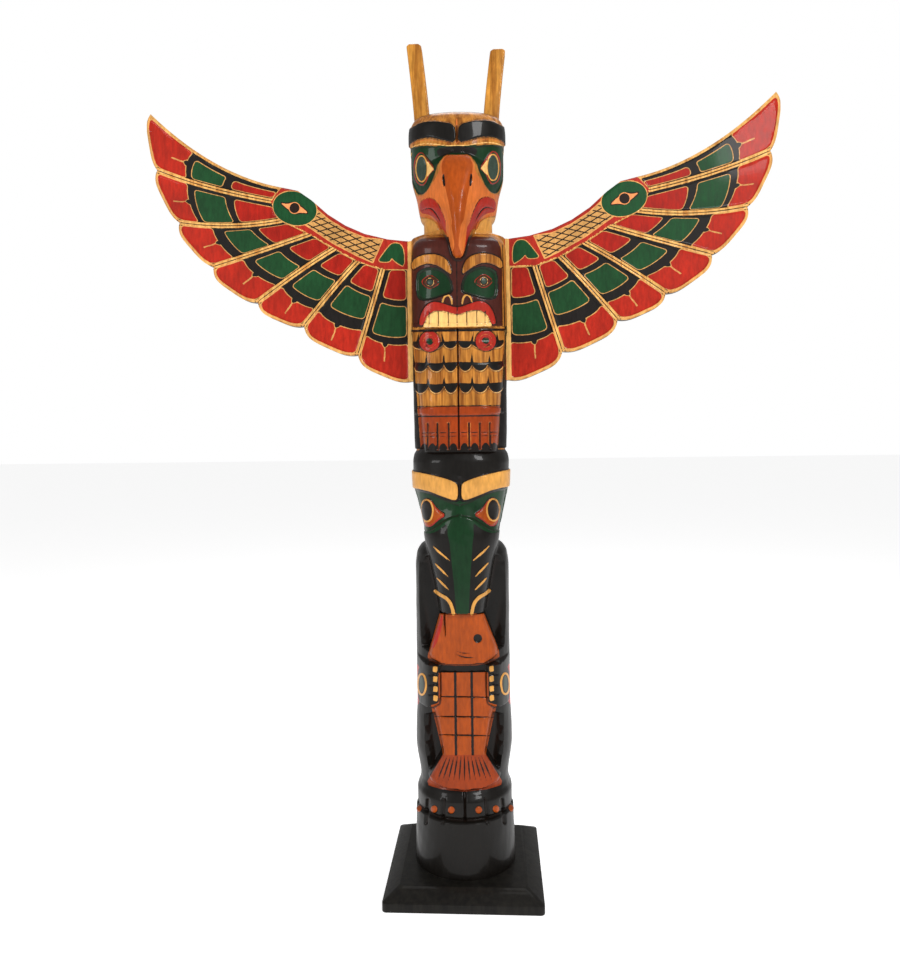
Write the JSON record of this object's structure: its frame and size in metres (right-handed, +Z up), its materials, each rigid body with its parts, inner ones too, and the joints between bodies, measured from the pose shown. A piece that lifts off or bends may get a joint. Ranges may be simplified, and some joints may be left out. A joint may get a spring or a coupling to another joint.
{
  "type": "totem pole",
  "caption": "Carved and painted wooden totem pole with spread wings, an eagle over a bear that holds a fish, on a square base plate.",
  "frame": {"origin": "centre of the base plate's underside", "axes": "+Z up along the log, -Y towards the front that the carved faces look to, +X to the right seen from the front"},
  "size_m": [1.147, 0.27, 1.497],
  "materials": {
    "base_paint": "black paint, satin",
    "log_paint": "painted in gold, black, orange, green and red under satin varnish",
    "wing_paint": "painted in red, green, black and gold under satin varnish",
    "ear_stain": "gold-brown stain, satin varnish"
  },
  "bodies": {
    "root": {"base_plate": "base_paint", "carved_log": "log_paint", "wing_left": "wing_paint", "wing_right": "wing_paint", "ear_left": "ear_stain", "ear_right": "ear_stain"}
  },
  "joints": []
}
